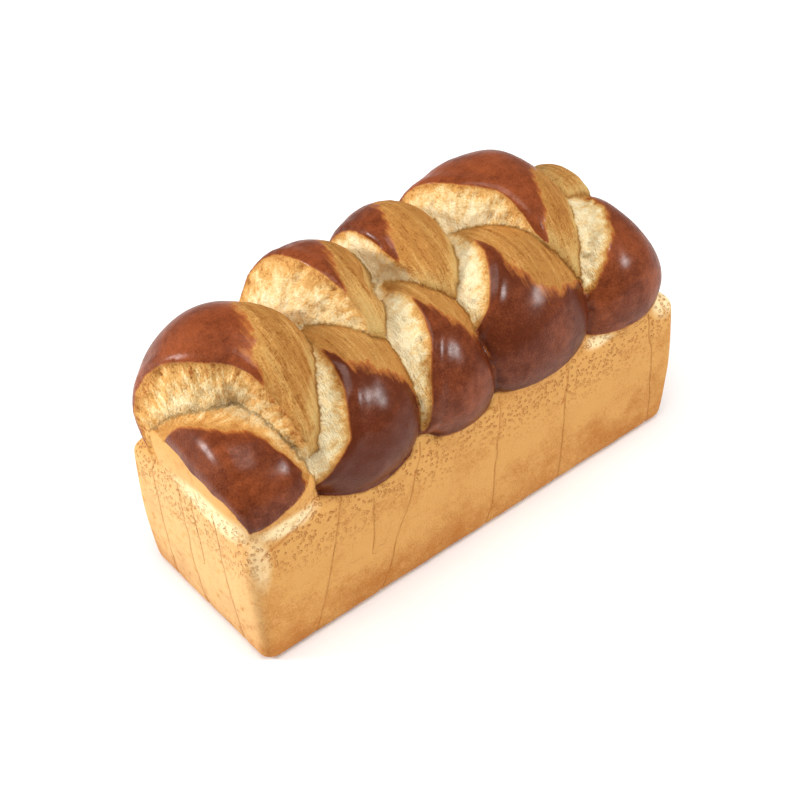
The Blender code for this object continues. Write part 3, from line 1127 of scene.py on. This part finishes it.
    def face_colour(self, graph: Graph, noise: dict) -> Socket:
        """Gold with brown and light streaks along the strand."""
        faded = graph.mark("pale")
        light = graph.total((noise["Along"], 0.9), (noise["Strings"], 1), (noise["Broad"], 0.8),
                            (noise["Grain"], 0.8), (faded, 0.6))
        gold = graph.mix(graph.ease(light, -0.1, 0.9), self.face_gold, self.face_light)
        pale = graph.total((faded, 1), (noise["Strings"], 0.5), (noise["Patches"], 0.4))
        gold = graph.mix(graph.ease(pale, 0.1, 1.0), gold, self.face_pale)
        brown = graph.total((noise["Along"], 0.9), (noise["Strings"], 0.8), (noise["Patches"], 0.7),
                            (noise["Grain"], 0.8), (graph.mark("face"), -0.25), (faded, 0.5))
        return graph.mix(graph.ease(brown, -0.1, -1.1), gold, self.face_brown)

    def tear_colour(self, graph: Graph, noise: dict) -> Socket:
        """Cream deep in the tear, through gold to brown flecks towards the crest."""
        toast = graph.total((graph.mark("toast"), 1), (noise["Drips"], 0.9), (noise["Patches"], 0.5),
                            (noise["Grain"], 0.5))
        colour = graph.mix(graph.ease(toast, 0.0, 0.4), self.tear_pale, self.tear_cream)
        colour = graph.mix(graph.ease(toast, 0.35, 0.75), colour, self.tear_gold)
        return graph.mix(graph.ease(toast, 0.72, 1.25), colour, self.tear_brown)

    def wall_colour(self, graph: Graph, z: Socket, rims: Socket, noise: dict) -> Socket:
        """Matte gold, browner low down, with pits, pale spots, and painted shade along the fold lines and the
        crack.

        Args:
            graph: the material's nodes.
            z: height, m.
            rims: share of browned rims round pits.
            noise: outputs of the fibres and the uneven browning.

        Returns:
            The colour.
        """
        shade = graph.total((noise["Broad"], 0.9), (noise["Grain"], 0.8), (noise["Patches"], 0.4),
                            (graph.ease(z, 0.0, 0.05, -0.5, 0.1), 1))
        colour = graph.mix(graph.ease(shade, 0.15, -0.85), self.wall_gold, self.wall_brown)
        bare = graph.times(graph.mark("bare"), graph.ease(noise["Patches"], -0.5, 0.0))
        colour = graph.mix(bare, colour, self.wall_pale)
        colour = graph.mix(graph.times(rims, 0.5), colour, self.pore_brown_and_fold_shade)
        # painted shade along the wall folds and the crack
        line = graph.times(graph.ease(graph.math("ABSOLUTE", graph.mark("seam")), 0.6, 0.1),
                           graph.ease(noise["Patches"], -0.4, 0.3, 0.1, 0.6))
        return graph.mix(line, colour, self.pore_brown_and_fold_shade)

    def relief(self, graph: Graph, gloss: Socket, wall: Socket, pits: Socket, noise: dict) -> Socket:
        """Fine relief: fibres on bare dough, grain on walls, a faint skin texture on the glaze.

        Args:
            graph: the material's nodes.
            gloss: share of glaze.
            wall: share of wall.
            pits: share of pits.
            noise: outputs of the fibres and the uneven browning.

        Returns:
            The normal.
        """
        rough = graph.total((noise["Along"], 0.8), (noise["Grain"], 0.7), (noise["Patches"], 0.5))
        smooth = graph.total((noise["Grain"], 0.3), (noise["Patches"], 0.15))
        fold = graph.ease(graph.math("ABSOLUTE", graph.mark("seam")), 0.9, 0.0)
        plain = graph.total((noise["Grain"], 0.35), (pits, -0.7), (fold, -0.5))
        bare = graph.math("MAXIMUM", graph.total((1.0, 1), (gloss, -1), (wall, -1)), 0.0)
        bump = graph.add("ShaderNodeBump")
        bump.inputs["Strength"].default_value = 1.0
        bump.inputs["Distance"].default_value = self.relief_depth
        graph.feed(bump.inputs["Height"], graph.total((rough, bare), (smooth, gloss), (plain, wall)))
        return bump.outputs[0]


@dataclass(frozen=True)
class SoftBox:
    """A soft square light that faces the loaf."""

    name: str
    place: tuple         # m
    size: float          # m
    power: float         # W
    aim: tuple = (0, 0, 0.07)

    def add(self) -> None:
        """Hang the light at its place."""
        light = bpy.data.lights.new(self.name, "AREA")
        light.energy = self.power
        light.size = self.size
        lamp = bpy.data.objects.new(self.name, light)
        lamp.location = self.place
        lamp.rotation_euler = (Vector(self.aim) - Vector(self.place)).to_track_quat("-Z", "Y").to_euler()
        bpy.context.collection.objects.link(lamp)


@dataclass(frozen=True)
class Studio:
    """Camera, floor and light."""

    azimuth: float = -37.2                          # degrees from the near wall's outward direction
    elevation: float = 40.9
    roll: float = -3.3
    camera_place: tuple = (-351.2, -453.7, 549.8)   # mm
    focal_length: float = 72.0                      # mm
    sensor_width: float = 36.0                      # mm
    floor_half: float = 3.0                         # m
    floor_white: float = 0.95
    floor_roughness: float = 0.8
    sky_strength: float = 0.27
    lights: tuple = (SoftBox("window", (-1.15, 0.72, 0.72), 0.36, 20),
                     SoftBox("lamp", (0.78, -1.03, 0.78), 0.24, 10),
                     SoftBox("overhead", (-0.1, -0.3, 1.6), 1.0, 18))

    def build(self) -> None:
        """Place the camera, the floor and the lights."""
        self.add_camera()
        self.add_floor()
        for light in self.lights:
            light.add()
        world = bpy.data.worlds.new("studio")
        world.use_nodes = True
        sky = world.node_tree.nodes["Background"]
        sky.inputs["Color"].default_value = (1, 1, 1, 1)
        sky.inputs["Strength"].default_value = self.sky_strength
        bpy.context.scene.world = world
        bpy.context.scene.view_settings.view_transform = "Standard"

    def add_camera(self) -> None:
        """Look at the loaf from its near left corner, from above, slightly rolled."""
        azimuth, elevation = math.radians(self.azimuth), math.radians(self.elevation)
        back = Vector((math.sin(azimuth) * math.cos(elevation), -math.cos(azimuth) * math.cos(elevation),
                       math.sin(elevation)))
        right = Vector((math.cos(azimuth), math.sin(azimuth), 0))
        turn = Matrix((right, back.cross(right), back)).transposed()
        roll = Matrix.Rotation(math.radians(self.roll), 3, "Z")
        camera = bpy.data.objects.new("camera", bpy.data.cameras.new("camera"))
        camera.data.lens = self.focal_length
        camera.data.sensor_width = self.sensor_width
        camera.matrix_world = Matrix.Translation(Vector(self.camera_place) * MM) @ (turn @ roll).to_4x4()
        bpy.context.collection.objects.link(camera)
        bpy.context.scene.camera = camera

    def add_floor(self) -> None:
        """A plain pale floor that is far wider than the view."""
        half = self.floor_half
        corners = [(-half, -half, 0), (half, -half, 0), (half, half, 0), (-half, half, 0)]
        mesh = bpy.data.meshes.new("floor")
        mesh.from_pydata(corners, [], [(0, 1, 2, 3)])
        material = bpy.data.materials.new("pale_floor")
        material.use_nodes = True
        shader = material.node_tree.nodes["Principled BSDF"]
        shader.inputs["Base Color"].default_value = (*(self.floor_white,) * 3, 1)
        shader.inputs["Roughness"].default_value = self.floor_roughness
        mesh.materials.append(material)
        floor = bpy.data.objects.new("floor", mesh)
        bpy.context.collection.objects.link(floor)


def main() -> None:
    """Build the loaf around the frame and set up the studio."""
    logging.basicConfig(level=logging.INFO, format="%(message)s")
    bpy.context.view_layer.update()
    crust = Loaf().build()
    crust.data.materials.append(BakedCrust().material())
    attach(crust, "root")
    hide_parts("loaf")
    LOG.info("crust: %d faces", len(crust.data.polygons))
    Studio().build()


if __name__ == "__main__":
    main()
